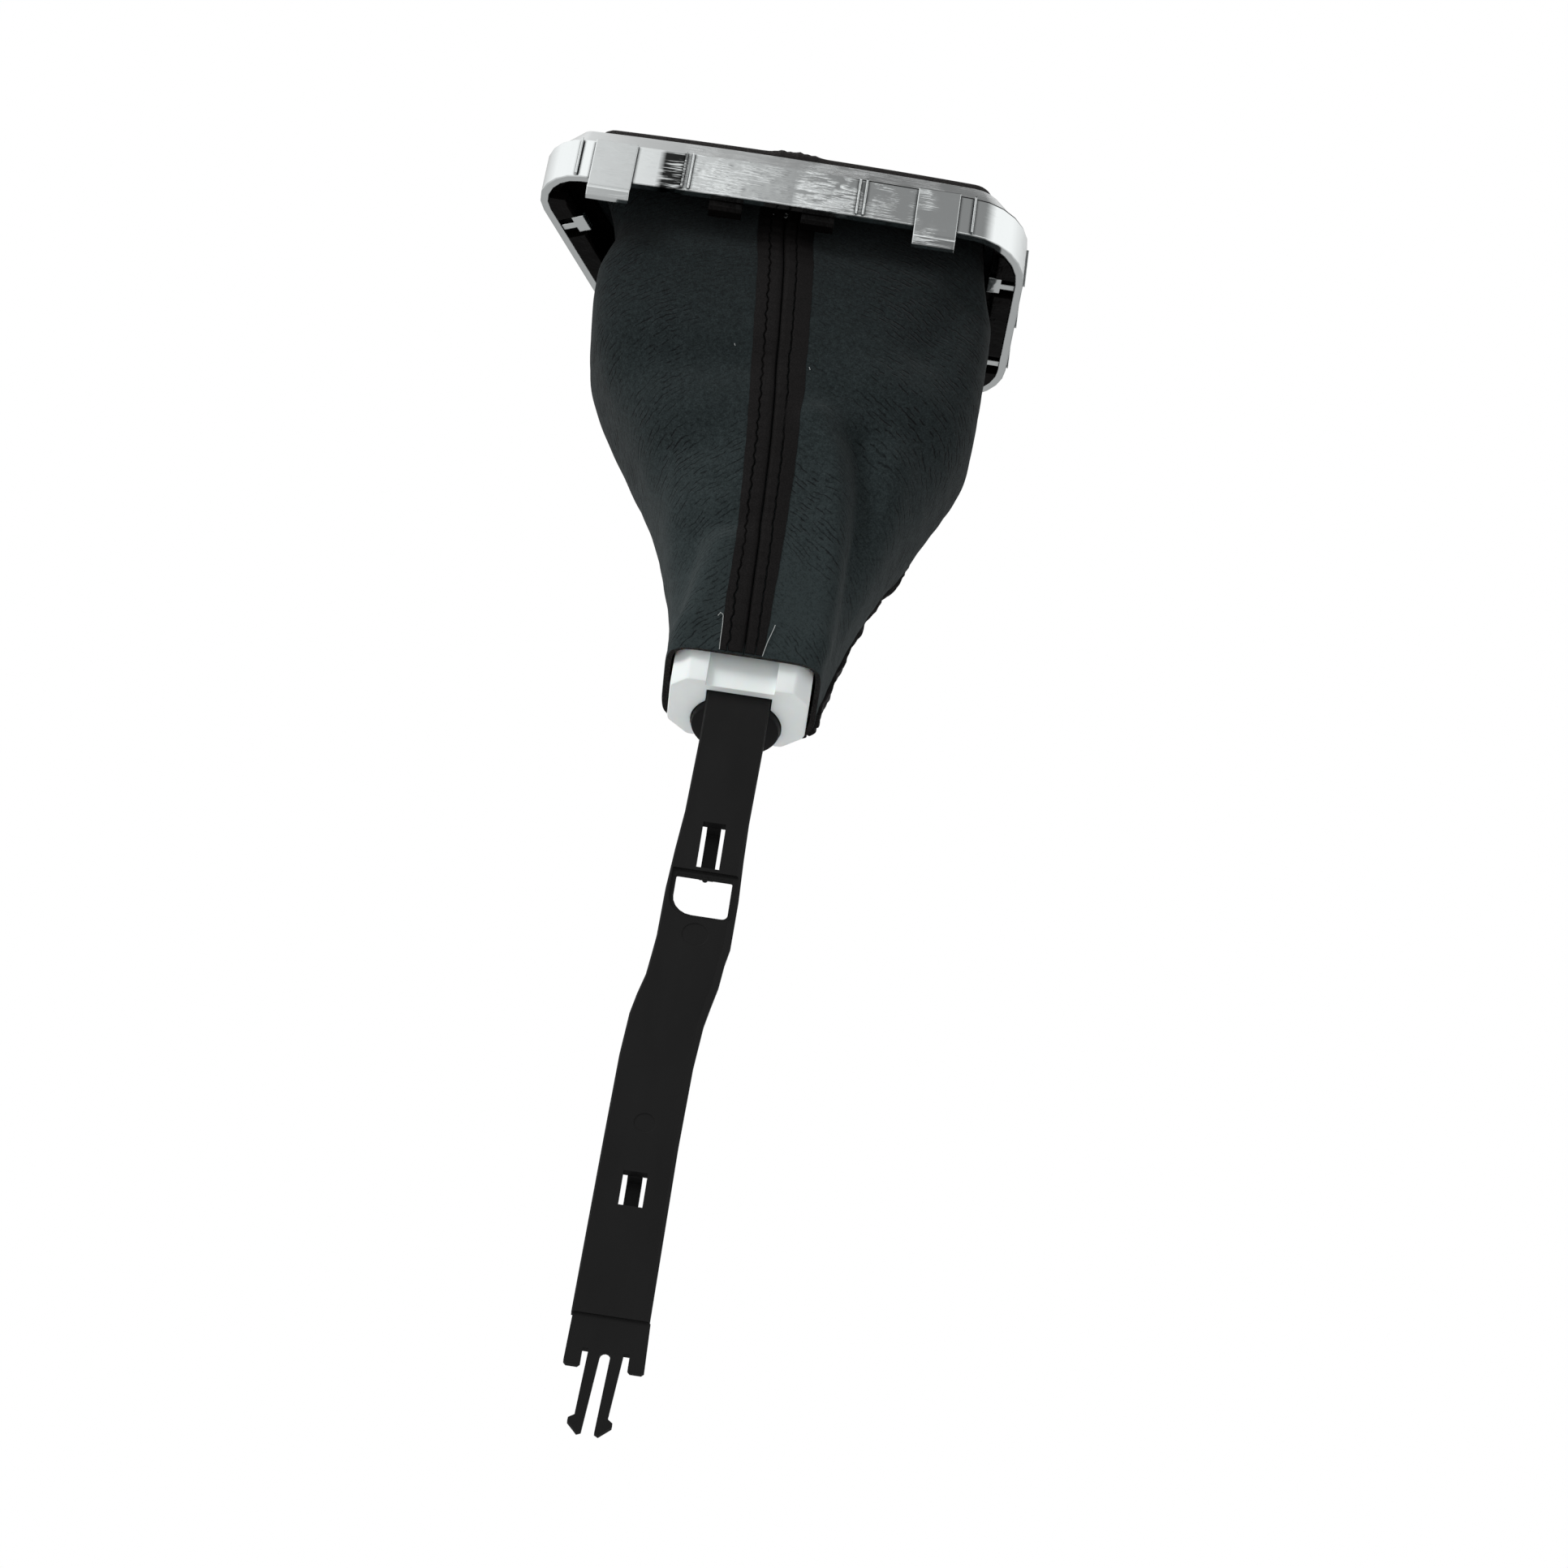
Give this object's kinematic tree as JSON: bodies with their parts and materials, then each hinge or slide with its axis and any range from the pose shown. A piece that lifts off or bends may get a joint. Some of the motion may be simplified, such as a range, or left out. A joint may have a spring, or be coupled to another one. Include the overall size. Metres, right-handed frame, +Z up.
{
  "type": "gear knob with gaiter",
  "caption": "Car gear knob with a reverse lifter, sewn gaiter turned inside out through its chrome bezel, inner frame, nylon collar and a long lifter strip with a snap fork.",
  "frame": {"origin": "bottom rim of the bezel, at the middle of its near side", "axes": "+Z up out of the console, +X to the driver's right along the near side of the bezel, +Y away from the viewer across the bezel; the lifter strip hangs along -Z"},
  "size_m": [0.1379, 0.072, 0.3923],
  "materials": {
    "bezel_chrome": "bright chrome plate on moulded ABS",
    "frame_plastic": "black moulded polypropylene",
    "gaiter_cloth": "dark textile backing outside, black grained artificial leather inside",
    "collar_nylon": "natural white nylon",
    "stem_plastic": "black moulded nylon",
    "ring_chrome": "satin chrome plate on moulded ABS",
    "knob_leather": "black grained leather",
    "trim_chrome": "satin chrome plate",
    "cap_gloss": "high gloss black with a plain shift pattern",
    "strip_plastic": "black moulded acetal, satin"
  },
  "bodies": {
    "root": {"bezel": "bezel_chrome", "inner_frame": "frame_plastic", "gaiter_panel_left": "gaiter_cloth", "gaiter_panel_right": "gaiter_cloth", "collar": "collar_nylon", "knob_stem": "stem_plastic", "knob_body": "knob_leather", "knob_trim_ring": "trim_chrome", "knob_cap": "cap_gloss"},
    "lifter": {"lift_ring": "ring_chrome", "lifter_strip": "strip_plastic"}
  },
  "joints": [
    {"name": "reverse_lift", "type": "slide", "parent": "root", "child": "lifter", "axis": [0, 0, 1], "range_m": [0, 0.009]}
  ]
}
